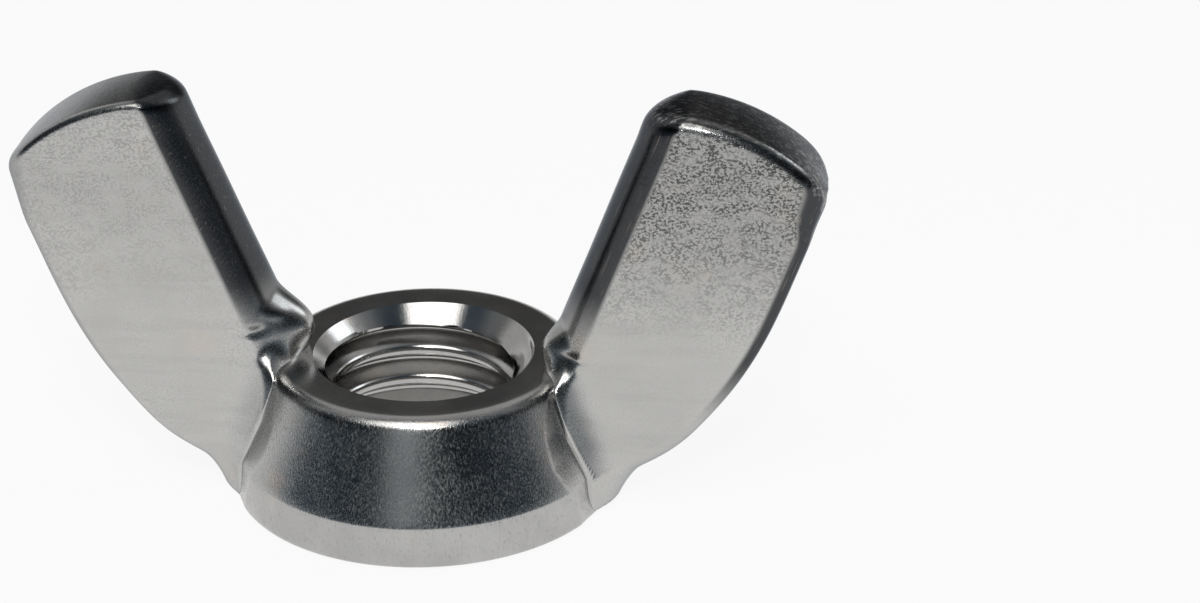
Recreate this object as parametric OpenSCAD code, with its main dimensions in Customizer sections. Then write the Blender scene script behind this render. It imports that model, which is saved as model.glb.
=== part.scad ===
// Wing nut, American form, cold forged, for a metric coarse thread.
// Millimetres. +Z is up the thread, X runs along the wings, and the origin is
// the centre of the bearing face. The nut is one forging: its threaded boss and
// its two wings are separate solids here that meet face to face.

/* [Thread] */
// Nominal diameter of the thread
thread_d = 8; // [6:0.5:9]
// Pitch of the thread
thread_pitch = 1.25; // [0.8:0.05:1.5]
// Countersink at each mouth, over the nominal diameter
mouth_over = 0.2; // [0:0.1:0.6]

/* [Boss] */
// Diameter of the boss at its bearing face
base_d = 14.5; // [13:0.1:18]
// Diameter of the boss at its top
top_d = 11.2; // [10.6:0.1:12.8]
// Height of the boss
boss_h = 5.15; // [4:0.05:8]
// Height of the steep band above the bearing face
band_h = 1.6; // [0.6:0.05:2]
// Draft of that band
band_draft = 4; // [0:0.5:8]
// Radius of the boss's top edge
top_edge_r = 0.45; // [0.1:0.05:0.7]
// Chamfer around the bearing face
base_chamfer = 0.2; // [0.05:0.05:0.4]

/* [Wings] */
// Distance across the wing tips
spread = 30.6; // [27:0.1:40]
// Height of the wing tips above the bearing face
overall_h = 15.5; // [13:0.1:20]
// Distance between the wings' inner edges at the tips
tip_gap = 17.1; // [14:0.1:20]
// Thickness of a wing
wing_t = 3.5; // [2.4:0.1:4.5]
// Radius that rounds a wing's edges
wing_edge_r = 1.1; // [0.6:0.1:1.15]
// Fall of a wing's crown from its inner corner to its outer corner
crown_fall = 3.15; // [1:0.05:5]
// Rise of the crown's arc above its chord
crown_rise = 0.9; // [0.3:0.05:1.5]
// Ring of the boss's top left bare between the mouth and a wing's root
root_ledge = 0.35; // [0.1:0.05:1]
// Reach of a wing's web past the bearing face's rim, at the bottom
web_reach = 0.35; // [0.1:0.05:1]
// Height of the step where the web ends and the wing's outer edge starts
step_h = 1.35; // [0.8:0.05:2]
// Reach of that step past the bearing face's rim
step_reach = 1; // [0.6:0.1:1.5]
// Slope of the outer edge as it leaves the step
outer_slope = 38; // [32:1:48]
// Height at which the outer edge turns up towards the tip
turn_h = 4.75; // [3.5:0.05:6]
// Radius of the fillets between a wing and the boss
root_fillet_r = 1; // [0.4:0.1:1.4]

/* [Hidden] */

$fn = 96;
eps = 0.01;

// An internal metric thread is bored this share of its pitch inside the nominal radius.
bore_r = thread_d / 2 - 0.5413 * thread_pitch;
mouth_r = (thread_d + mouth_over) / 2;
base_r = base_d / 2;
top_r = top_d / 2;
band_top_r = base_r - band_h * tan(band_draft);
flank_angle = atan((band_top_r - top_r) / (boss_h - band_h));

// Corners of a wing's outline in the X-Z plane, right-hand side.
web_foot = [base_r + web_reach, 0];
step = [base_r + step_reach, step_h];
turn = [step[0] + (turn_h - step_h) / tan(outer_slope), turn_h];
tip_out = [spread / 2, overall_h - crown_fall];
tip_in = [tip_gap / 2, overall_h];
root_in = [mouth_r + root_ledge, boss_h];
heart = [bore_r, boss_h - wing_edge_r - top_edge_r];

edge_steps = 10;
crown_steps = 12;
function lerp(a, b, t) = a + (b - a) * t;
function turned(a, b, c, t) = lerp(lerp(a, b, t), lerp(b, c, t), t);
function left_of(v) = [-v[1], v[0]] / norm(v);

// The outer edge leaves the step on its slope and turns up to the tip.
outer_edge = [for (i = [0 : edge_steps]) turned(step, turn, tip_out, i / edge_steps)];

// The crown is a shallow bow from the outer corner to the inner one.
crown = [for (i = [1 : crown_steps]) let (t = i / crown_steps)
    lerp(tip_out, tip_in, t) - left_of(tip_in - tip_out) * crown_rise * 4 * t * (1 - t)];

wing_points = concat(
    [[heart[0], 0], web_foot],
    outer_edge, crown,
    [root_in, heart]);

// Half of the boss's section, filled to the axis.
module boss_section() {
    difference() {
        union() {
            polygon([[0, 0], [base_r - base_chamfer, 0], [base_r, base_chamfer], [band_top_r, band_h],
                     [top_r + top_edge_r * tan(flank_angle), boss_h - top_edge_r],
                     [top_r - top_edge_r, boss_h], [0, boss_h]]);
            translate([top_r - top_edge_r, boss_h - top_edge_r]) circle(top_edge_r);
        }
        translate([-base_d, -base_d]) square([base_d, 3 * base_d]);
    }
}

module boss_envelope() {
    rotate_extrude() boss_section();
}

module boss() {
    color("#a9a7a3") difference() {
        boss_envelope();
        translate([0, 0, -eps]) cylinder(h = boss_h + 2 * eps, r = bore_r);
        mouth(0, 1);
        mouth(boss_h, -1);
    }
}

// A 45 degree countersink that opens at height z, where inward is +1 or -1.
module mouth(z, inward) {
    depth = mouth_r - bore_r;
    translate([0, 0, z]) mirror([0, 0, inward < 0 ? 1 : 0]) translate([0, 0, -eps])
        cylinder(h = depth + eps, r1 = mouth_r + eps, r2 = bore_r);
}

// The wing's plate, with every edge rounded.
module wing_plate() {
    rotate([90, 0, 0]) minkowski() {
        linear_extrude(wing_t - 2 * wing_edge_r, center = true)
            offset(delta = -wing_edge_r) polygon(wing_points);
        sphere(wing_edge_r, $fn = 24);
    }
}

// Concave fillets between the wing's sides and the boss's flank. Each is an arc that
// touches the wing's side and the flank, carried down the flank's slope.
module root_fillets() {
    flank_r = top_r / cos(flank_angle);
    side = wing_t / 2 + root_fillet_r;
    arc_x = sqrt(pow(flank_r + root_fillet_r, 2) - side * side);
    touch_y = side * flank_r / (flank_r + root_fillet_r);
    intersection() {
        translate([top_r, 0, boss_h]) rotate([0, flank_angle, 0])
            translate([-flank_r, 0, -2 * boss_h]) linear_extrude(2 * boss_h) difference() {
                translate([0, -touch_y]) square([arc_x, 2 * touch_y]);
                for (s = [-1, 1]) translate([arc_x, s * side]) circle(root_fillet_r);
            }
        translate([0, 0, base_chamfer])
            cylinder(h = boss_h - base_chamfer - top_edge_r, r = base_r - base_chamfer);
    }
}

module wing() {
    color("#b4b1ac") difference() {
        union() {
            wing_plate();
            root_fillets();
        }
        boss_envelope();
        translate([-spread, -spread, -spread]) cube([2 * spread, 2 * spread, spread]);
        translate([-spread, -spread / 2, -eps]) cube([spread, spread, 2 * overall_h]);
    }
}

module left_wing() mirror([1, 0, 0]) wing();

module right_wing() wing();

boss();
left_wing();
right_wing();
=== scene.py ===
"""Looks of a cold forged wing nut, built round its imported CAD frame.

Metres, in the frame of the CAD: +Z is up the thread, X runs along the wings and the
origin is the centre of the bearing face. Sizes in the tables below are millimetres.
"""

import math
from contextlib import contextmanager

import bmesh
import bpy
import numpy as np
from mathutils import Matrix, Vector, noise


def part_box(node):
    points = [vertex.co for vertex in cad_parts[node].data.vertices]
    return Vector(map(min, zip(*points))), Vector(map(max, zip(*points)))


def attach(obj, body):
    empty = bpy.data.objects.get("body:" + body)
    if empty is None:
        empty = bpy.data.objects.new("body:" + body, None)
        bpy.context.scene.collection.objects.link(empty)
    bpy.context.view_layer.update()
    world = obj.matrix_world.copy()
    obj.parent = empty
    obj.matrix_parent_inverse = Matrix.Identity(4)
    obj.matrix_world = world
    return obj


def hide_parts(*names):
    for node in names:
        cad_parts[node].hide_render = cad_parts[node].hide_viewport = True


bl_info = {
    "name": "Wing Nut",
    "version": (1, 0, 0),
    "blender": (4, 5, 0),
    "location": "3D View > Sidebar > Wing Nut",
    "description": "Builds a forged wing nut with its thread, its finish and its stage",
    "category": "Object",
}

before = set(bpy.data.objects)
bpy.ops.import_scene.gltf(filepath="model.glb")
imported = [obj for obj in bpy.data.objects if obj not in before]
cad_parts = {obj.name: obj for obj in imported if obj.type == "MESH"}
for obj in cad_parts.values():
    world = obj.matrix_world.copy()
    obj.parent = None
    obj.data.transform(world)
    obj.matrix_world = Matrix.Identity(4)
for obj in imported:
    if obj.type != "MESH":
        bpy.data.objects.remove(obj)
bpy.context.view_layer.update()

MM = 0.001
WELD = 0.0005 * MM  # Points closer than this are one point.
BOSS_LOW, BOSS_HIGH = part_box("boss")
BOSS_H = BOSS_HIGH[2] - BOSS_LOW[2]
BASE_R = BOSS_HIGH[0]
THREAD_STEPS = 288
SHELL_STEPS = 384

# Degrees from a wing's plane to the near and far side of the facet beside it, by height.
FACET_NEAR = ([0.8, 2.4, 3.0, 4.0, 4.9], [20.5, 21.0, 21.2, 21.8, 23.0])
FACET_FAR = ([0.0, 1.0, 1.8, 2.6, 3.6, 4.4, 5.1], [29.5, 31.2, 34.8, 37.6, 36.6, 32.5, 28.0])

# The right wing's outer edge from its foot to the step, then from the step to the tip.
FOOT_EDGE = [(7.33, 0.04), (7.5, 0.38), (7.7, 0.72), (7.94, 1.05), (8.2, 1.34)]
OUTER_EDGE = [
    (8.2, 1.34), (8.7, 1.72), (9.25, 2.16), (10.0, 2.86), (10.75, 3.68), (11.4, 4.5),
    (11.95, 5.3), (12.42, 6.1), (12.85, 6.95), (13.2, 7.75), (13.52, 8.55),
    (13.82, 9.35), (14.12, 10.15), (14.42, 10.95), (14.74, 11.75), (15.08, 12.45),
]
# The inner edge: its buried start, where it leaves the boss, and its corner at the crown.
INNER_FOOT = (4.62, 0.04)
INNER_STEP = (4.62, 2.6)
INNER_ROOT = (4.5, 5.15)
INNER_TIP = (8.54, 15.43)
ROOT_SHARE = 0.2  # Share of the way up at which the inner edge leaves the boss.
BOW_SHARE = 0.45  # Share of the way up from which the stations bow like the crown.
INNER_DEPTH = 1.1  # Depth of the arc that rounds the inner edge.
# Half the wing's thickness at its outer edge, by height, and the small radius of that edge.
HALF_BY_HEIGHT = [
    (0.0, 1.88), (1.2, 1.96), (1.8, 2.1), (2.3, 2.16), (3.0, 2.08), (4.0, 1.96),
    (7.5, 1.83), (12.0, 1.75), (15.5, 1.72),
]
EDGE_ROUND_BY_HEIGHT = [(0.0, 0.55), (1.4, 0.6), (2.8, 0.36), (10.6, 0.38), (12.4, 1.25)]
EDGE_ROUND_MOST = 1.3
# Half the wing's thickness at its inner edge, by height.
INNER_HALF_BY_HEIGHT = [(0.0, 1.95), (5.0, 1.9), (9.0, 1.8), (15.5, 1.72)]
FOOT_STATIONS = 8
WING_STATIONS = 58
LAST_STATIONS = 6  # Stations that the rings of the crown stand in for.
CROWN_DOME = 0.04  # Rise of the crown's middle over its rim.
# Points round a station: its inner arc, a face, the outer corner and half the outer edge.
ARC_POINTS, FACE_POINTS, CORNER_POINTS, EDGE_POINTS = 14, 31, 8, 7
NORMAL_ROUNDS = 8  # Rounds that smooth the normals of a station.
# The ways that the inner edge, the crown and the outer edge of the right wing face.
INNER_WAY = np.array([-0.93, 0.0, 0.37])
CROWN_WAY = np.array([0.42, 0.0, 0.91])
OUTER_WAY = np.array([0.9, 0.0, -0.43])

# The room's brightness from straight down (0) to straight up (1).
ROOM_STOPS = [(0.0, 0.9), (0.08, 0.85), (0.2, 0.3), (0.34, 0.08), (0.5, 0.08), (0.72, 0.55),
              (1.0, 0.45)]
FRONT_TONE = (0.1, 0.14, 0.18)
SIDE_TONE = (0.95, 0.95, 0.95)
WHITE = (1.0, 1.0, 1.0)
CAMERA_PLACE = (19.05, -106.34, 59.13)


# Properties -----------------------------------------------------------------


def length(name, description, value):
    """A length property, in metres."""
    return bpy.props.FloatProperty(
        name=name, description=description, default=value, min=0.0, precision=5,
        unit="LENGTH", subtype="DISTANCE")


def colour(name, description, value):
    """A colour property."""
    return bpy.props.FloatVectorProperty(
        name=name, description=description, default=value, size=3, min=0.0, max=1.0,
        subtype="COLOR")


def plain(name, description, value):
    """A plain number property."""
    return bpy.props.FloatProperty(name=name, description=description, default=value, min=0.0)


class BossSizes(bpy.types.PropertyGroup):
    """Sizes of the threaded boss."""

    major_r: length("Thread radius", "Radius to the bottom of the thread's grooves", 4.0 * MM)
    minor_r: length("Crest radius", "Radius to the crests of the thread", 3.3234 * MM)
    pitch: length("Pitch", "Rise of the thread in one turn", 1.25 * MM)
    mouth_r: length("Mouth radius", "Radius of the countersink where it opens", 4.1 * MM)
    top_r: length("Top radius", "Radius where the cone would meet the top", 5.6 * MM)
    edge_r: length("Top edge radius", "Radius that rounds the top edge", 0.62 * MM)
    band_h: length("Band height", "Height of the steep band over the bearing face", 1.6 * MM)
    band_in: length("Band draft", "How far the band leans in over its height", 0.11 * MM)
    scoop: length("Facet depth", "Depth of the flats beside each web", 0.2 * MM)


class WingSizes(bpy.types.PropertyGroup):
    """Sizes of the wings."""

    crown_rise: length("Crown rise", "Rise of the crown's arc over its chord", 0.88 * MM)
    rim_r: length("Rim radius", "Radius of the rim along the crown", 0.32 * MM)
    corner_r: length("Corner radius", "Radius of the crown's two ends", 0.55 * MM)
    fillet_w: length("Fillet width", "Width of the fillet between wing and boss", 0.95 * MM)
    fillet_k: length("Fillet height", "Height of that fillet at the boss", 0.5 * MM)
    lump: length("Root lump", "How far the forged lump at the root stands out", 0.75 * MM)


class SteelFinish(bpy.types.PropertyGroup):
    """Colours of the steel, the painted shade laid on the wings' edges, and the size of its
    marks.
    """

    boss_colour: colour("Boss", "Colour of the turned and tumbled boss", (0.47, 0.465, 0.455))
    wing_colour: colour("Wings", "Colour of the forged wings", (0.52, 0.515, 0.5))
    # Painted shade: the near black colour laid on the wings' inner edges, crowns and rounded
    # outer corners, in place of the dark room that they reflect.
    edge_shade_colour: colour("Edges", "Colour of the wings' inner edges", (0.035, 0.038, 0.043))
    tint: colour("Tint", "Colour of the faint straw coloured patches", (0.62, 0.5, 0.4))
    grain: length("Grain", "Size of the pits on the forged faces", 0.11 * MM)


class StageLook(bpy.types.PropertyGroup):
    """Floor, lamps and camera."""

    floor_colour: colour("Floor", "Colour of the floor", (0.9, 0.9, 0.9))
    key_watts: plain("Key lamp", "Power of the soft key lamp", 0.16)
    fill_watts: plain("Fill lamp", "Power of the soft fill lamp", 0.035)
    spark_watts: plain("Front lamp", "Power of the small lamp above the camera", 0.05)
    streak_watts: plain("Low lamp", "Power of the soft lamp behind the camera", 0.007)
    camera_lens: plain("Lens", "Focal length of the camera in millimetres", 97.6)


# Mesh helpers ---------------------------------------------------------------


def clear_selection():
    """Leaves edit mode and deselects everything."""
    if bpy.context.object and bpy.context.object.mode != "OBJECT":
        bpy.ops.object.mode_set(mode="OBJECT")
    bpy.ops.object.select_all(action="DESELECT")


def make_active(piece):
    """Selects one object alone and makes it active."""
    clear_selection()
    piece.select_set(True)
    bpy.context.view_layer.objects.active = piece


@contextmanager
def editing(piece):
    """Edit mode on one object, with its whole mesh selected."""
    make_active(piece)
    bpy.ops.object.mode_set(mode="EDIT")
    bpy.ops.mesh.select_all(action="SELECT")
    yield
    bpy.ops.object.mode_set(mode="OBJECT")


def apply_modifier(piece, kind, **values):
    """Adds a modifier, sets its values and applies it."""
    make_active(piece)
    modifier = piece.modifiers.new(kind.title(), kind)
    for key, value in values.items():
        setattr(modifier, key, value)
    bpy.ops.object.modifier_apply(modifier=modifier.name)


def points_of(piece, value="co"):
    """The places of the mesh's vertices as an array, or their normals."""
    found = np.empty(len(piece.data.vertices) * 3)
    piece.data.vertices.foreach_get(value, found)
    return found.reshape(-1, 3)


def put_points(piece, places):
    """Moves the mesh's vertices."""
    piece.data.vertices.foreach_set("co", np.asarray(places, dtype=float).ravel())
    piece.data.update()


def smooth_step(value, low, high):
    """0 below low, 1 above high, and smooth between."""
    share = np.clip((value - low) / (high - low), 0.0, 1.0)
    return share * share * (3.0 - 2.0 * share)


def bump_at(distance, width):
    """A soft bump, 1 at distance 0 and 0 from one width on."""
    share = np.clip(1.0 - (distance / width) ** 2, 0.0, 1.0)
    return share * share


def wobble(places, size, seed):
    """Smooth noise at each place, about -1 to 1, with features of the given size."""
    shift = Vector((seed * 3.7, seed * 1.3, seed * 2.1))
    return np.array([noise.noise(Vector(p) / size + shift) for p in places])


def polyline_object(name, places):
    """An open run of edges through the places, made from one edge of a plane."""
    clear_selection()
    bpy.ops.mesh.primitive_plane_add(size=MM, location=(0, 0, 0))
    piece = bpy.context.object
    piece.name = name
    piece.data.name = name
    bpy.ops.object.mode_set(mode="EDIT")
    mesh = bmesh.from_edit_mesh(piece.data)
    mesh.verts.ensure_lookup_table()
    for vertex in mesh.verts:
        vertex.select_set(vertex.index > 1)
    mesh.select_flush(True)
    bmesh.update_edit_mesh(piece.data)
    bpy.ops.mesh.delete(type="VERT")
    mesh = bmesh.from_edit_mesh(piece.data)
    mesh.verts.ensure_lookup_table()
    mesh.verts[0].co = places[0]
    mesh.verts[1].co = places[1]
    bmesh.update_edit_mesh(piece.data)
    bpy.ops.mesh.select_all(action="DESELECT")
    mesh = bmesh.from_edit_mesh(piece.data)
    mesh.verts.ensure_lookup_table()
    mesh.verts[1].select_set(True)
    bmesh.update_edit_mesh(piece.data)
    for place in places[2:]:
        bpy.ops.mesh.extrude_vertices_move()
        mesh = bmesh.from_edit_mesh(piece.data)
        for vertex in mesh.verts:
            if vertex.select:
                vertex.co = place
        bmesh.update_edit_mesh(piece.data)
    bpy.ops.object.mode_set(mode="OBJECT")
    return piece


def turned(name, profile, steps, rise=0.0):
    """Turns a profile of (radius, height) round +Z, with a rise per turn for a thread."""
    piece = polyline_object(name, [(r, 0.0, z) for r, z in profile])
    apply_modifier(
        piece, "SCREW", axis="Z", angle=2 * math.pi, screw_offset=rise, steps=steps,
        render_steps=steps, use_merge_vertices=False, use_smooth_shade=True)
    with editing(piece):
        bpy.ops.mesh.remove_doubles(threshold=WELD)
    return piece


def select_open_edges(piece, height):
    """In edit mode, selects only the open edges that lie at a height."""
    bpy.ops.mesh.select_all(action="DESELECT")
    mesh = bmesh.from_edit_mesh(piece.data)
    for edge in mesh.edges:
        if edge.is_boundary and all(abs(v.co.z - height) < 0.001 * MM for v in edge.verts):
            edge.select_set(True)
    bmesh.update_edit_mesh(piece.data)


def outward(piece):
    """Merges doubles and points every face outwards."""
    with editing(piece):
        bpy.ops.mesh.remove_doubles(threshold=WELD)
        bpy.ops.mesh.normals_make_consistent(inside=False)


def shade(piece, degrees):
    """Smooth shading, with creases sharper than the angle left hard."""
    make_active(piece)
    bpy.ops.object.shade_smooth_by_angle(angle=math.radians(degrees))


def wear(piece, metal):
    """Gives a piece its one material."""
    piece.data.materials.clear()
    piece.data.materials.append(metal)


def set_marks(piece, marks):
    """Stores four shares per vertex, which the material reads; on the wings three of them lay
    painted shade.
    """
    layer = piece.data.color_attributes.new(name="finish_and_shade", type="FLOAT_COLOR", domain="POINT")
    layer.data.foreach_set("color", np.asarray(marks, dtype=float).ravel())


# The boss -------------------------------------------------------------------


def thread_profile(sizes, turns):
    """Heights and radii of the thread's crests, flanks and grooves over some turns."""
    depth = sizes.major_r - sizes.minor_r
    crest = sizes.pitch / 8.0
    flank = depth * math.tan(math.radians(30.0))
    one_turn = [
        (0.0, 0.0), (crest * 0.7, 0.0), (crest * 0.97, 0.03 * depth),
        (crest + flank * 0.14, 0.16 * depth), (crest + flank * 0.4, 0.4 * depth),
        (crest + flank * 0.65, 0.65 * depth), (crest + flank * 0.88, 0.87 * depth),
        (crest + flank * 1.02, 0.98 * depth), (sizes.pitch / 2.0, depth),
    ]
    mirrored = [(sizes.pitch - z, r) for z, r in one_turn[-2:0:-1]]
    rows = []
    for turn in range(turns):
        rows += [(turn * sizes.pitch + z, r) for z, r in one_turn + mirrored]
    rows.append((turns * sizes.pitch, 0.0))
    return [(sizes.minor_r + r, z - 1.5 * sizes.pitch) for z, r in rows]


def countersink(piece, sizes):
    """Opens the bore's two ends to 45 degree mouths, with softened corners."""
    places = points_of(piece)
    radius = np.hypot(places[:, 0], places[:, 1])
    depth = np.minimum(places[:, 2], BOSS_H - places[:, 2])
    cone = sizes.mouth_r - depth
    soft = 0.02 * MM
    opened = 0.5 * (radius + cone + np.sqrt((radius - cone) ** 2 + soft ** 2))
    scale = np.where(cone > radius - 0.3 * MM, opened / radius, 1.0)
    places[:, 0] *= scale
    places[:, 1] *= scale
    put_points(piece, places)


def trim(piece, height, up):
    """Cuts away what lies past a height."""
    with editing(piece):
        bpy.ops.mesh.bisect(
            plane_co=(0, 0, height), plane_no=(0, 0, up), clear_outer=True, clear_inner=False,
            use_fill=False, threshold=0.0001 * MM)


def cone_lean(sizes):
    """Angle between the cone's side and the thread's axis."""
    return math.atan((BASE_R - sizes.band_in - sizes.top_r) / (BOSS_H - sizes.band_h))


def shell_profile(sizes):
    """Radii and heights of the boss's outside, from its top ring down to its bearing face."""
    lean = cone_lean(sizes)
    centre_r = sizes.top_r - sizes.edge_r * (1.0 - math.sin(lean)) / math.cos(lean)
    centre_z = BOSS_H - sizes.edge_r
    rows = [(sizes.mouth_r + step * MM, BOSS_H) for step in (0.12, 0.3, 0.55, 0.8)]
    for turn in np.linspace(math.pi / 2, lean, 11):
        rows.append((centre_r + sizes.edge_r * math.cos(turn),
                     centre_z + sizes.edge_r * math.sin(turn)))
    start_r, start_z = rows[-1]
    corner_r = BASE_R - sizes.band_in
    for share in np.linspace(0.0, 1.0, 27)[1:-1]:
        rows.append((start_r + (corner_r - 0.03 * MM - start_r) * share,
                     start_z + (sizes.band_h + 0.08 * MM - start_z) * share))
    rows += [
        (corner_r - 0.022 * MM, sizes.band_h + 0.045 * MM),
        (corner_r - 0.003 * MM, sizes.band_h - 0.005 * MM),
        (corner_r + 0.009 * MM, sizes.band_h - 0.06 * MM),
    ]
    for share in np.linspace(0.0, 1.0, 9)[1:]:
        rows.append((corner_r + 0.009 * MM + (sizes.band_in - 0.009 * MM) * share,
                     sizes.band_h - 0.06 * MM + (0.24 * MM - sizes.band_h + 0.06 * MM) * share))
    rows += [
        (BASE_R - 0.03 * MM, 0.12 * MM), (BASE_R - 0.09 * MM, 0.045 * MM),
        (BASE_R - 0.18 * MM, 0.008 * MM), (BASE_R - 0.28 * MM, 0.0), (BASE_R - 0.8 * MM, 0.0),
        (BASE_R - 1.6 * MM, 0.0), (BASE_R - 2.4 * MM, 0.0), (sizes.mouth_r + 0.12 * MM, 0.0),
    ]
    return rows


def cut_facets(piece, sizes):
    """Presses a flat into the cone on each side of each web, half as deep on the left."""
    places = points_of(piece)
    radius = np.hypot(places[:, 0], places[:, 1])
    around = np.degrees(np.arctan2(np.abs(places[:, 1]), np.abs(places[:, 0])))
    height = places[:, 2] / MM
    near = np.interp(height, *FACET_NEAR)
    far = np.interp(height, *FACET_FAR)
    across = (around - near) / (far - near)
    inside = (across > -1.2) & (across < 1.0) & (radius > sizes.mouth_r + 0.9 * MM)
    hollow = np.where(across > 0.45, 1.0 - (np.clip(across - 0.45, 0, 1) / 0.55) ** 1.5, 1.0)
    fade = smooth_step(height, -0.6, 0.9) * (1.0 - smooth_step(height, 4.55, 5.15))
    depth = sizes.scoop * hollow * fade * (0.75 + 0.25 * np.sign(places[:, 0]))
    scale = np.where(inside, 1.0 - depth / radius, 1.0)
    places[:, 0] *= scale
    places[:, 1] *= scale
    put_points(piece, places)


def roughen(piece, amount, size, seed):
    """Gives forged unevenness that a reflection shows: dents, and bumps a third as high."""
    places = points_of(piece)
    shift = np.minimum(wobble(places, size, seed) * amount, amount * 0.3)
    put_points(piece, places + points_of(piece, "normal") * shift[:, None])


def build_boss(sizes):
    """The boss as one closed mesh: thread, mouths, top, cone, band and bearing face."""
    turns = int(BOSS_H / sizes.pitch) + 4
    bore = turned("boss_threaded", thread_profile(sizes, turns), THREAD_STEPS, sizes.pitch)
    countersink(bore, sizes)
    trim(bore, BOSS_H, 1)
    trim(bore, 0.0, -1)
    shell = turned("shell", shell_profile(sizes), SHELL_STEPS)
    cut_facets(shell, sizes)
    clear_selection()
    shell.select_set(True)
    bore.select_set(True)
    bpy.context.view_layer.objects.active = bore
    bpy.ops.object.join()
    with editing(bore):
        bpy.ops.mesh.select_mode(type="EDGE")
        for height in (BOSS_H, 0.0):
            select_open_edges(bore, height)
            bpy.ops.mesh.fill(use_beauty=False)
    outward(bore)
    places = points_of(bore)
    wide = np.hypot(places[:, 0], places[:, 1])
    outside = smooth_step(wide, sizes.top_r - 0.6 * MM, sizes.top_r + 0.1 * MM)
    set_marks(bore, np.column_stack([outside] * 4))
    return bore


# The wings ------------------------------------------------------------------


def curve_through(places, count):
    """A smooth run of points through the places, evenly spaced along it."""
    places = np.array(places)
    ends = np.vstack([2 * places[0] - places[1], places, 2 * places[-1] - places[-2]])
    fine = []
    for k in range(len(places) - 1):
        a, b, c, d = ends[k:k + 4]
        for t in np.linspace(0, 1, 12, endpoint=False):
            fine.append(0.5 * (2 * b + (c - a) * t + (2 * a - 5 * b + 4 * c - d) * t * t
                               + (3 * b - a - 3 * c + d) * t ** 3))
    fine = np.array(fine + [places[-1]])
    along = np.concatenate([[0], np.cumsum(np.hypot(*np.diff(fine, axis=0).T))])
    share = np.linspace(0, along[-1], count)
    return np.column_stack([np.interp(share, along, fine[:, i]) for i in (0, 1)])


def between(start, end, share):
    """The place that lies a share of the way from one place to another."""
    return np.array(start) + (np.array(end) - start) * share


def ribs():
    """Inner point, outer point and share of the way up, for each station of a wing."""
    found = []
    foot = curve_through(FOOT_EDGE, FOOT_STATIONS)
    for k, outer in enumerate(foot[:-1]):
        found.append((between(INNER_FOOT, INNER_STEP, k / (len(foot) - 1)), outer, 0.0))
    run = curve_through(OUTER_EDGE, WING_STATIONS)
    for k, outer in enumerate(run):
        share = k / (len(run) - 1)
        if share < ROOT_SHARE:
            inner = between(INNER_STEP, INNER_ROOT, share / ROOT_SHARE)
        else:
            inner = between(INNER_ROOT, INNER_TIP, (share - ROOT_SHARE) / (1.0 - ROOT_SHARE))
        found.append((inner, outer, share))
    return found


def section(width, half_in, half_out, edge_r):
    """Loop of (along, across, normal along, normal across) round a wing, in millimetres."""
    loop = []
    bend_r = (INNER_DEPTH ** 2 + half_in ** 2) / (2 * INNER_DEPTH)
    for turn in np.linspace(0, math.asin(half_in / bend_r), ARC_POINTS)[:-1]:
        loop.append((bend_r * (1 - math.cos(turn)), bend_r * math.sin(turn),
                     -math.cos(turn), math.sin(turn)))
    for share in np.linspace(0, 1, FACE_POINTS)[:-1]:
        along = INNER_DEPTH + (width - edge_r - INNER_DEPTH) * share
        across = half_in + (half_out - half_in) * share
        loop.append((along, across, 0.0, 1.0))
    for turn in np.linspace(0, math.pi / 2, CORNER_POINTS):
        loop.append((width - edge_r + edge_r * math.sin(turn),
                     half_out - edge_r + edge_r * math.cos(turn),
                     math.sin(turn), math.cos(turn)))
    for share in np.linspace(0, 1, EDGE_POINTS)[1:]:
        loop.append((width, (half_out - edge_r) * (1 - share), 1.0, 0.0))
    back = [(a, -c, na, -nc) for a, c, na, nc in loop[-2:0:-1]]
    loop = np.array(loop + back)
    for _ in range(NORMAL_ROUNDS):
        ways = loop[:, 2:]
        loop[:, 2:] = (np.roll(ways, 1, axis=0) + 2 * ways + np.roll(ways, -1, axis=0)) / 4
    return loop


def rib_points(inner, outer, share, rise, inset=0.0, lift=0.0, squeeze=None, soften=1.0):
    """Places round one station, with the crown's bow, an inset and a lift, and its section."""
    chord = outer - inner
    width = math.hypot(*chord)
    forward = chord / width
    upward = np.array([-forward[1], forward[0]])
    half = np.interp(outer[1], *np.array(HALF_BY_HEIGHT).T)
    half_in = np.interp(inner[1], *np.array(INNER_HALF_BY_HEIGHT).T)
    edge_r = soften * np.interp(outer[1], *np.array(EDGE_ROUND_BY_HEIGHT).T)
    edge_r = min(EDGE_ROUND_MOST, edge_r)
    loop = section(width, half_in, half, edge_r)
    along, across = loop[:, 0].copy(), loop[:, 1].copy()
    if squeeze is not None:
        middle = np.clip(along, half_in, width - half)
        along = middle + (along - middle) * squeeze
        across = across * squeeze
    along = along - loop[:, 2] * inset
    across = across - loop[:, 3] * inset
    reach = np.clip(along / width, 0.0, 1.0)
    bow = rise * 4 * reach * (1 - reach) * smooth_step(share, BOW_SHARE, 1.0) + lift
    flat = inner + forward * along[:, None] + upward * bow[:, None]
    return np.column_stack([flat[:, 0], across, flat[:, 1]]), loop


def crown_rings(inner, outer, sizes, soften, rim):
    """The rings that round the rim and close the crown."""
    rise = sizes.crown_rise / MM
    loop = rib_points(inner, outer, 1.0, rise, soften=soften)[1]
    rim_r = rim * sizes.rim_r / MM
    radius = rim_r + (rim * sizes.corner_r / MM - rim_r) * np.abs(loop[:, 2])
    rings = []
    for turn in np.linspace(0, math.pi / 2, 7):
        rings.append(rib_points(inner, outer, 1.0, rise, radius * (1 - math.cos(turn)),
                                -radius * (1 - math.sin(turn)), None, soften)[0])
    for squeeze in (0.86, 0.7, 0.52, 0.34, 0.17, 0.0):
        rings.append(rib_points(inner, outer, 1.0, rise, radius * squeeze,
                                CROWN_DOME * (1 - squeeze ** 2), squeeze, soften)[0])
    return rings


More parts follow.
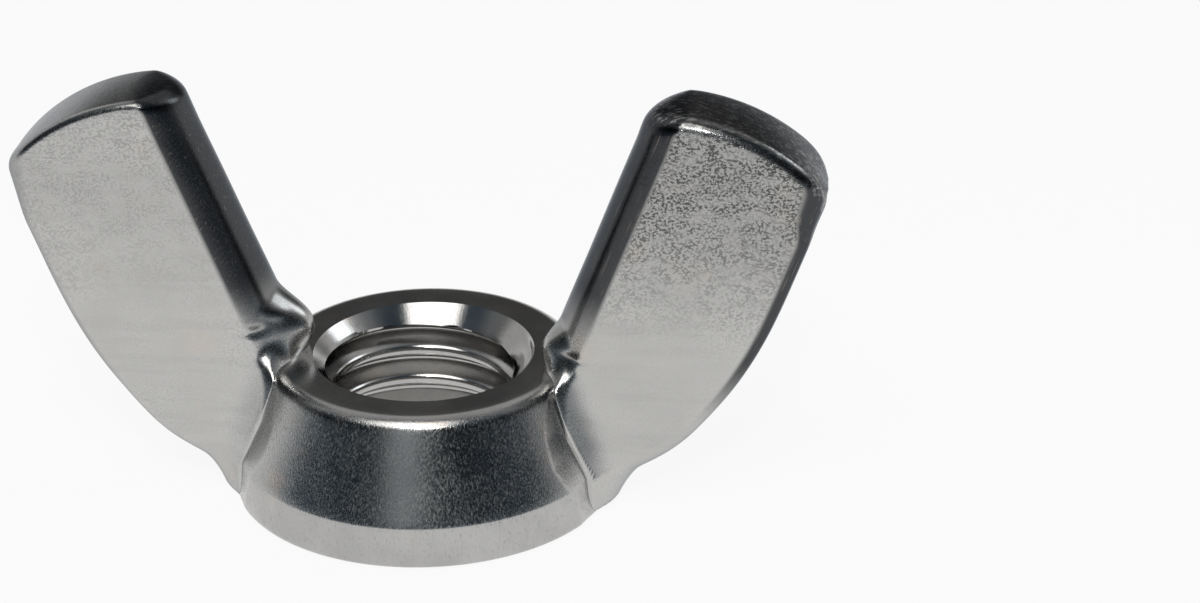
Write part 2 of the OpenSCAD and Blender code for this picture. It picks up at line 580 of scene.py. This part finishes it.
def loft(name, rings):
    """Extrudes a closed loop from ring to ring, and closes both ends."""
    clear_selection()
    bpy.ops.mesh.primitive_circle_add(
        vertices=len(rings[0]), radius=MM, fill_type="NGON", location=(0, 0, 0))
    piece = bpy.context.object
    piece.name = name
    piece.data.name = name
    with editing(piece):
        mesh = bmesh.from_edit_mesh(piece.data)
        mesh.verts.ensure_lookup_table()
        for vertex, place in zip(mesh.verts, rings[0]):
            vertex.co = place * MM
        bmesh.update_edit_mesh(piece.data)
        for before, ring in zip(rings, rings[1:]):
            bpy.ops.mesh.extrude_region()
            mesh = bmesh.from_edit_mesh(piece.data)
            moved = [v for v in mesh.verts if v.select]
            if len(moved) != len(ring):
                raise RuntimeError("a station of the wing lost points")
            for vertex in moved:
                nearest = np.argmin(np.linalg.norm(before * MM - np.array(vertex.co), axis=1))
                vertex.co = ring[nearest] * MM
            bmesh.update_edit_mesh(piece.data)
        # The last ring is a line, so its face goes and its two sides are merged.
        bpy.ops.mesh.delete(type="ONLY_FACE")
        bpy.ops.mesh.select_all(action="SELECT")
        bpy.ops.mesh.remove_doubles(threshold=WELD)
    return piece


def boss_distance(places, sizes):
    """Distance of each place outside the boss's envelope, negative inside."""
    radius = np.hypot(places[:, 0], places[:, 1])
    lean = cone_lean(sizes)
    flank = (radius - sizes.top_r) * math.cos(lean) + (places[:, 2] - BOSS_H) * math.sin(lean)
    band = radius - (BASE_R - 0.5 * sizes.band_in)
    side = np.maximum(band, flank)
    top = places[:, 2] - BOSS_H
    outside = np.hypot(np.maximum(side, 0), np.maximum(top, 0))
    return np.where((side > 0) | (top > 0), outside, np.maximum(side, top))


def flare_root(places, boss, sizes):
    """Swells the wing's sides into the boss."""
    gap = boss_distance(places, boss)
    share = np.clip(1.0 - gap / sizes.fillet_w, 0.0, 1.3)
    swell = sizes.fillet_k * share ** 2
    side = np.sign(places[:, 1]) * smooth_step(np.abs(places[:, 1]), 0.2 * MM, 1.5 * MM)
    places[:, 1] += side * swell
    return places


def add_lump(places, centre, reach, push):
    """Pushes out a small forged lump round a centre."""
    offset = (places - np.array(centre) * MM) / (np.array(reach) * MM)
    share = bump_at(np.linalg.norm(offset, axis=1), 1.0)
    return places + np.array(push)[None, :] * MM * share[:, None]


def build_wing(name, side, boss, sizes, plan):
    """One wing, from its web's foot to its crown."""
    stations = ribs()
    rings = []
    for inner, outer, share in stations[:-LAST_STATIONS]:
        rings.append(rib_points(inner, outer, share, sizes.crown_rise / MM,
                                soften=plan["soften"])[0])
    inner, outer, _ = stations[-1]
    rings += crown_rings(inner, outer, sizes, plan["soften"], plan["rim_size"])
    piece = loft(name, rings)
    outward(piece)
    apply_modifier(piece, "SUBSURF", levels=1, render_levels=1)
    places = points_of(piece)
    places = flare_root(places, boss, sizes)
    for centre, reach, push in plan["lumps"]:
        places = add_lump(places, centre, reach, push)
    places[:, 2] = np.maximum(places[:, 2], 0.03 * MM)
    marks = wing_marks_and_shade(piece, places, plan)
    places[:, 0] *= side
    put_points(piece, places)
    set_marks(piece, marks)
    outward(piece)
    roughen(piece, 0.012 * MM, 2.6 * MM, plan["seed"])
    return piece


def wing_marks_and_shade(piece, places, plan):
    """Shares of painted shade on the inner edge, crown and outer edge, and of the pits, for the
    material.
    """
    normals = points_of(piece, "normal")
    height = places[:, 2] / MM
    # The inner edge, the crown and the rounded outer corner get shares of painted shade, dark
    # where they would reflect the dark room; each wing's plan sets how much.
    inner = smooth_step(normals @ INNER_WAY, 0.15, 0.36) * smooth_step(height, 5.8, 8.6)
    crown = smooth_step(normals @ CROWN_WAY, 0.25, 0.6) * plan["crown"]
    outer = smooth_step(normals @ OUTER_WAY, 0.12, 0.4) * smooth_step(height, 3.2, 6.2)
    outer = outer * smooth_step(np.abs(normals[:, 1]), 0.2, 0.45) * plan["rim"]
    high = smooth_step(height, 5.8, 13.2) * plan["pitted"]
    return np.column_stack([inner, crown, outer, high])


# Materials ------------------------------------------------------------------


class Graph:
    """Adds and joins the nodes of one node tree."""

    def __init__(self, tree):
        self.nodes = tree.nodes
        self.links = tree.links

    def node(self, kind, **values):
        """Adds a node and sets its own values."""
        made = self.nodes.new(kind)
        for key, value in values.items():
            setattr(made, key, value)
        return made

    def link(self, source, target):
        """Joins two sockets."""
        self.links.new(source, target)

    def feed(self, socket, value):
        """Gives a socket a number, a colour or another socket's output."""
        if isinstance(value, (int, float)):
            socket.default_value = value
        elif isinstance(value, (tuple, list)):
            socket.default_value = (*value, 1.0)
        else:
            self.link(value, socket)

    def spread(self, value, low, high, to_low=0.0, to_high=1.0, kind="SMOOTHSTEP"):
        """Maps a range onto another, clamped and smooth."""
        made = self.node("ShaderNodeMapRange", interpolation_type=kind)
        made.inputs["From Min"].default_value = low
        made.inputs["From Max"].default_value = high
        made.inputs["To Min"].default_value = to_low
        made.inputs["To Max"].default_value = to_high
        self.link(value, made.inputs["Value"])
        return made.outputs["Result"]

    def math(self, operation, first, second):
        """One sum on two sockets or numbers."""
        made = self.node("ShaderNodeMath", operation=operation)
        self.feed(made.inputs[0], first)
        self.feed(made.inputs[1], second)
        return made.outputs["Value"]

    def mix(self, share, first, second, blend="MIX"):
        """Mixes two colours, given as numbers or sockets."""
        made = self.node("ShaderNodeMix", data_type="RGBA", blend_type=blend)
        self.feed(made.inputs[0], share)
        self.feed(made.inputs[6], first)
        self.feed(made.inputs[7], second)
        return made.outputs[2]


class Finish(Graph):
    """One material, built node by node."""

    def __init__(self, name):
        self.material = bpy.data.materials.new(name)
        self.material.use_nodes = True
        super().__init__(self.material.node_tree)
        self.shader = self.nodes["Principled BSDF"]

    def position(self, scale, turn=(0.0, 0.0, 0.0)):
        """Object coordinates, scaled and turned."""
        where = self.node("ShaderNodeTexCoord")
        mapping = self.node("ShaderNodeMapping", vector_type="TEXTURE")
        mapping.inputs["Rotation"].default_value = turn
        mapping.inputs["Scale"].default_value = scale
        self.link(where.outputs["Object"], mapping.inputs["Vector"])
        return mapping.outputs["Vector"]

    def noise(self, vector, detail, rough):
        """Noise at the vector's own scale."""
        made = self.node("ShaderNodeTexNoise")
        made.inputs["Scale"].default_value = 1.0
        made.inputs["Detail"].default_value = detail
        made.inputs["Roughness"].default_value = rough
        self.link(vector, made.inputs["Vector"])
        return made.outputs["Fac"]

    def bump(self, height, distance, strength, under=None):
        """Adds a bump, over an earlier one if there is one."""
        made = self.node("ShaderNodeBump")
        made.inputs["Distance"].default_value = distance
        self.feed(made.inputs["Strength"], strength)
        self.link(height, made.inputs["Height"])
        if under is not None:
            self.link(under, made.inputs["Normal"])
        return made.outputs["Normal"]

    def marks(self):
        """The shares stored on the mesh: red, green, blue and alpha."""
        made = self.node("ShaderNodeAttribute", attribute_name="finish_and_shade")
        split = self.node("ShaderNodeSeparateColor")
        self.link(made.outputs["Color"], split.inputs["Color"])
        return (split.outputs[0], split.outputs[1], split.outputs[2], made.outputs["Alpha"])

    def done(self, colour_socket, rough_socket, normal_socket):
        """Joins the results to the shader, as bare metal."""
        self.shader.inputs["Metallic"].default_value = 1.0
        self.link(colour_socket, self.shader.inputs["Base Color"])
        self.link(rough_socket, self.shader.inputs["Roughness"])
        self.link(normal_socket, self.shader.inputs["Normal"])
        return self.material


def scaled(colour_value, share):
    """A colour made darker or lighter."""
    return tuple(min(1.0, c * share) for c in colour_value)


def boss_steel(finish_and_shade):
    """Tumbled steel: scratched and specked outside, brighter in the bore, a little straw."""
    made = Finish("turned_stainless")
    base = tuple(finish_and_shade.boss_colour)
    cloud = made.noise(made.position((2.4 * MM, 2.4 * MM, 3.2 * MM)), 4.0, 0.6)
    patches = made.spread(made.noise(made.position((1.5 * MM,) * 3), 2.0, 0.5), 0.6, 0.75)
    speck = made.noise(made.position((0.09 * MM, 0.09 * MM, 0.16 * MM)), 3.0, 0.6)
    scratch = made.noise(made.position((0.05 * MM, 0.05 * MM, 0.9 * MM)), 3.0, 0.65)
    tone = made.mix(made.spread(cloud, 0.35, 0.7), scaled(base, 0.86), base)
    tone = made.mix(made.math("MULTIPLY", patches, 0.25), tone, tuple(finish_and_shade.tint))
    tone = made.mix(made.spread(speck, 0.55, 0.72, 0.0, 0.3), tone, scaled(base, 0.45))
    outside = made.marks()[0]
    worn = made.math("ADD", made.spread(scratch, 0.35, 0.7, 0.0, 0.2),
                     made.spread(speck, 0.54, 0.7, 0.0, 0.13))
    rough = made.math("ADD", made.math("MULTIPLY", worn, outside),
                      made.spread(cloud, 0.3, 0.7, 0.09, 0.15))
    relief = made.bump(scratch, 0.007 * MM, made.spread(outside, 0.0, 1.0, 0.35, 1.0))
    return made.done(tone, rough, relief)


def wing_steel(finish_and_shade):
    """Forged and tumbled steel: pitted towards the tips, drawn along the edges, with painted
    shade on the edges and in the pits.
    """
    made = Finish("forged_stainless")
    base = tuple(finish_and_shade.wing_colour)
    inner, crown, outer, high = made.marks()
    cloud = made.noise(made.position((3.1 * MM, 3.1 * MM, 2.2 * MM)), 4.0, 0.6)
    bands = made.noise(made.position((5.0 * MM, 5.0 * MM, 0.45 * MM)), 2.0, 0.5)
    pits = made.noise(made.position((finish_and_shade.grain, finish_and_shade.grain, finish_and_shade.grain * 0.8)), 2.5, 0.6)
    fine = made.noise(made.position((0.05 * MM,) * 3), 2.0, 0.5)
    drawn = made.noise(made.position((0.07 * MM, 0.07 * MM, 1.8 * MM),
                                     (0.0, math.radians(21), 0.0)), 3.0, 0.6)
    blotch = made.spread(made.noise(made.position((0.8 * MM, 0.8 * MM, 0.5 * MM)), 3.0, 0.6),
                         0.32, 0.6, 0.25, 1.1)
    amount = made.math("ADD", made.math("MULTIPLY", high, blotch),
                       made.spread(cloud, 0.45, 0.7, 0.0, 0.16))
    edges = made.math("MAXIMUM", inner, made.math("MAXIMUM", crown, outer))
    amount = made.math("MULTIPLY", amount, made.spread(edges, 0.0, 0.5, 1.0, 0.15))
    tone = made.mix(made.spread(cloud, 0.35, 0.7), scaled(base, 0.93), scaled(base, 1.03))
    tone = made.mix(made.spread(bands, 0.5, 0.62, 0.0, 0.14), tone, scaled(base, 0.7))
    tint = made.spread(made.noise(made.position((1.8 * MM,) * 3), 2.0, 0.5), 0.6, 0.74, 0, 0.22)
    tone = made.mix(tint, tone, tuple(finish_and_shade.tint))
    # Painted shade: darker where the pits are thick, and darker still in the pits' hollows, over
    # the real pits that the bump draws.
    tone = made.mix(made.math("MULTIPLY", high, 0.45), tone, scaled(base, 0.5))
    hollow = made.math("MULTIPLY", made.spread(pits, 0.55, 0.43, 0.0, 1.0), amount)
    tone = made.mix(hollow, tone, scaled(base, 0.2))
    # Painted shade: the inner edges, crowns and outer corners take the near black edge colour,
    # standing in for the dark room that they reflect.
    tone = made.mix(made.math("MULTIPLY", edges, 0.93), tone, tuple(finish_and_shade.edge_shade_colour))
    streak = made.math("MULTIPLY", made.spread(drawn, 0.6, 0.72, 0.0, 0.35), edges)
    tone = made.mix(streak, tone, scaled(tuple(finish_and_shade.tint), 0.8))
    fleck = made.noise(made.position((0.35 * MM, 0.14 * MM, 0.14 * MM)), 3.0, 0.65)
    fleck = made.math("MULTIPLY", made.spread(fleck, 0.5, 0.64, 0.0, 0.9), crown)
    tone = made.mix(fleck, tone, scaled(base, 0.85))
    rough = made.math("ADD", made.spread(fine, 0.3, 0.7, 0.2, 0.3),
                      made.math("MULTIPLY", edges, -0.05))
    relief = made.bump(drawn, 0.005 * MM, made.math("MULTIPLY", edges, 0.8))
    relief = made.bump(pits, 0.026 * MM, amount, relief)
    made.shader.inputs["Specular Tint"].default_value = (0.6, 0.62, 0.65, 1.0)
    return made.done(tone, rough, relief)


# Operators ------------------------------------------------------------------


def settings():
    """The four groups of properties, kept on the scene."""
    scene = bpy.context.scene
    return scene.wingnut_boss, scene.wingnut_wings, scene.wingnut_steel, scene.wingnut_stage


class WINGNUT_OT_boss(bpy.types.Operator):
    """Build the threaded boss"""

    bl_idname = "wingnut.boss"
    bl_label = "Boss"

    def execute(self, context):
        boss, _, steel, _ = settings()
        piece = build_boss(boss)
        shade(piece, 34)
        wear(piece, boss_steel(steel))
        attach(piece, "root")
        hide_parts("boss")
        return {"FINISHED"}


class WINGNUT_OT_wings(bpy.types.Operator):
    """Build the two wings with their webs"""

    bl_idname = "wingnut.wings"
    bl_label = "Wings"

    def execute(self, context):
        boss, wings, steel, _ = settings()
        metal = wing_steel(steel)
        lump = wings.lump / MM
        # Each lump is its centre, its reach and its push, on the right wing's side.
        # In each plan, crown and rim set how much painted shade lies on the crown and on the
        # rounded outer corner, so the two wings carry different painted shade; pitted sets the
        # pits and the painted shade in them.
        left = {
            "pitted": 0.26, "crown": 0.15, "rim": 0.2, "rim_size": 1.0, "soften": 1.0, "seed": 3,
            "lumps": [
                ((4.75, 0.0, 6.3), (1.5, 2.0, 1.6), (-1.1 * lump, 0.0, 0.05)),
                ((4.9, -1.3, 7.1), (1.0, 0.9, 0.6), (-0.16, -0.2 * lump, 0.0)),
                ((6.0, -1.9, 6.45), (1.1, 0.9, 0.26), (0.0, 0.06, 0.0)),
                ((5.0, 1.3, 6.1), (1.0, 1.0, 0.8), (-0.1, 0.2 * lump, 0.0)),
            ],
        }
        right = {
            "pitted": 1.0, "crown": 0.75, "rim": 1.0, "rim_size": 1.6, "soften": 1.75, "seed": 8,
            "lumps": [
                ((4.85, -0.8, 6.0), (1.1, 1.5, 1.0), (-0.5 * lump, -0.15 * lump, 0.05)),
                ((5.8, -1.9, 5.9), (0.9, 0.9, 0.24), (0.0, 0.06, 0.0)),
                ((5.0, 1.2, 6.3), (1.0, 1.0, 0.8), (-0.15, 0.2 * lump, 0.0)),
                ((15.1, -0.3, 12.5), (0.5, 1.6, 0.35), (0.2, 0.0, 0.08)),
                ((15.0, -1.1, 11.95), (0.45, 0.9, 0.28), (-0.2, 0.15, 0.0)),
            ],
        }
        for name, side, plan in (("left_wing", -1, left), ("right_wing", 1, right)):
            piece = build_wing(name + "_forged", side, boss, wings, plan)
            shade(piece, 50)
            wear(piece, metal)
            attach(piece, "root")
            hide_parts(name)
        return {"FINISHED"}


def soft_lamp(name, place, target, size, watts, tone):
    """An area lamp that looks at a target."""
    clear_selection()
    bpy.ops.object.light_add(type="AREA", location=place)
    lamp = bpy.context.object
    lamp.name = name
    lamp.data.shape = "DISK"
    lamp.data.size = size
    lamp.data.energy = watts
    lamp.data.color = tone
    way = Vector(target) - Vector(place)
    lamp.rotation_euler = way.to_track_quat("-Z", "Y").to_euler()


def floor_finish(look):
    """Pale floor that stays white round the object and keeps its shadow."""
    made = Finish("floor_paper")
    path = made.node("ShaderNodeLightPath")
    seen = made.math("MAXIMUM", path.outputs["Is Camera Ray"], path.outputs["Is Glossy Ray"])
    seen = made.math("MAXIMUM", seen, path.outputs["Is Transmission Ray"])
    cloth = made.node("ShaderNodeBsdfDiffuse")
    cloth.inputs["Color"].default_value = (*look.floor_colour, 1.0)
    glow = made.node("ShaderNodeEmission")
    glow.inputs["Color"].default_value = (*WHITE, 1.0)
    glow.inputs["Strength"].default_value = 1.0
    both = made.node("ShaderNodeMixShader")
    made.link(made.math("MULTIPLY", seen, 0.9), both.inputs["Fac"])
    made.link(cloth.outputs["BSDF"], both.inputs[1])
    made.link(glow.outputs["Emission"], both.inputs[2])
    out = made.nodes["Material Output"]
    made.nodes.remove(made.shader)
    made.link(both.outputs["Shader"], out.inputs["Surface"])
    return made.material


def room_light():
    """A small studio: pale low down, dark in front, brighter at the back's two sides."""
    world = bpy.data.worlds.new("studio")
    bpy.context.scene.world = world
    world.use_nodes = True
    room = Graph(world.node_tree)
    where = room.node("ShaderNodeTexCoord")
    split = room.node("ShaderNodeSeparateXYZ")
    room.link(where.outputs["Generated"], split.inputs["Vector"])
    rise = room.node("ShaderNodeValToRGB")
    ramp = rise.color_ramp
    ramp.interpolation = "EASE"
    for element, (place, level) in zip(ramp.elements, (ROOM_STOPS[0], ROOM_STOPS[-1])):
        element.position = place
        element.color = (level, level, level, 1)
    for place, level in ROOM_STOPS[1:-1]:
        ramp.elements.new(place).color = (level, level, level, 1)
    room.link(split.outputs["Z"], rise.inputs["Fac"])
    front = room.spread(split.outputs["Y"], -0.2, 0.3, kind="LINEAR")
    shade_of_front = room.mix(front, FRONT_TONE, WHITE)
    plain_room = room.mix(1.0, rise.outputs["Color"], shade_of_front, "MULTIPLY")
    sideways = room.math("ABSOLUTE", split.outputs["X"], 0.0)
    sides = room.math("MULTIPLY", room.spread(sideways, 0.48, 0.62, 0.0, 0.6),
                      room.spread(split.outputs["Y"], 0.08, 0.3))
    lit = room.mix(sides, plain_room, SIDE_TONE)
    room.link(lit, room.nodes["Background"].inputs["Color"])


class WINGNUT_OT_stage(bpy.types.Operator):
    """Add the floor, the lamps, the room and the camera"""

    bl_idname = "wingnut.stage"
    bl_label = "Stage"

    def execute(self, context):
        look = settings()[3]
        clear_selection()
        bpy.ops.mesh.primitive_circle_add(
            vertices=96, radius=3.0, fill_type="NGON", location=(0, 0, -0.02 * MM))
        floor = bpy.context.object
        floor.name = "floor"
        bpy.ops.object.transform_apply(location=True, rotation=True, scale=True)
        wear(floor, floor_finish(look))
        soft_lamp("key", (-0.015, -0.095, 0.185), (0, 0, 0.006), 0.15, look.key_watts,
                  (1.0, 0.98, 0.95))
        soft_lamp("fill", (0.16, 0.1, 0.13), (0, 0, 0.006), 0.08, look.fill_watts,
                  (0.9, 0.95, 1.0))
        soft_lamp("front", (0.02, -0.12, 0.12), (0, 0, 0.006), 0.018, look.spark_watts,
                  (0.94, 0.97, 1.0))
        soft_lamp("streak", (-0.021, -0.183, 0.08), (0, 0, 0.004), 0.08, look.streak_watts,
                  (0.9, 0.96, 1.0))
        room_light()
        add_camera(look)
        return {"FINISHED"}


def add_camera(look):
    """The camera, from the front, a little to the right and well above."""
    turn, rise, roll = math.radians(6.68), math.radians(25.77), math.radians(-0.63)
    back = Vector((math.sin(turn) * math.cos(rise), -math.cos(turn) * math.cos(rise),
                   math.sin(rise)))
    right = (-back).cross(Vector((0, 0, 1))).normalized()
    up = right.cross(-back)
    across = right * math.cos(roll) + up * math.sin(roll)
    upright = up * math.cos(roll) - right * math.sin(roll)
    clear_selection()
    bpy.ops.object.camera_add(location=(0, 0, 0))
    camera = bpy.context.object
    camera.data.lens = look.camera_lens
    camera.data.sensor_width = 36.0
    camera.data.clip_start = 1 * MM
    camera.data.clip_end = 20.0
    place = Matrix((across, upright, back)).transposed().to_4x4()
    place.translation = Vector(CAMERA_PLACE) * MM
    camera.matrix_world = place
    bpy.context.scene.camera = camera


class WINGNUT_PT_panel(bpy.types.Panel):
    """The wing nut's sizes, finish and steps"""

    bl_idname = "WINGNUT_PT_panel"
    bl_label = "Wing Nut"
    bl_space_type = "VIEW_3D"
    bl_region_type = "UI"
    bl_category = "Wing Nut"

    def draw(self, context):
        for group in settings():
            for name in group.__annotations__:
                self.layout.prop(group, name)
        for step in STEPS:
            self.layout.operator(step.bl_idname)


GROUPS = {
    "wingnut_boss": BossSizes,
    "wingnut_wings": WingSizes,
    "wingnut_steel": SteelFinish,
    "wingnut_stage": StageLook,
}
STEPS = (WINGNUT_OT_boss, WINGNUT_OT_wings, WINGNUT_OT_stage)


def register():
    """Registers the classes and keeps the properties on the scene."""
    for kind in (*GROUPS.values(), *STEPS, WINGNUT_PT_panel):
        bpy.utils.register_class(kind)
    for name, kind in GROUPS.items():
        setattr(bpy.types.Scene, name, bpy.props.PointerProperty(type=kind))


def unregister():
    """Removes the properties and the classes."""
    for name in GROUPS:
        delattr(bpy.types.Scene, name)
    for kind in reversed((*GROUPS.values(), *STEPS, WINGNUT_PT_panel)):
        bpy.utils.unregister_class(kind)


def main():
    """Builds the wing nut on its stage."""
    register()
    bpy.ops.wingnut.boss()
    bpy.ops.wingnut.wings()
    bpy.ops.wingnut.stage()
    bpy.context.scene.view_settings.view_transform = "Standard"
    bpy.context.view_layer.update()


if __name__ == "__main__":
    main()
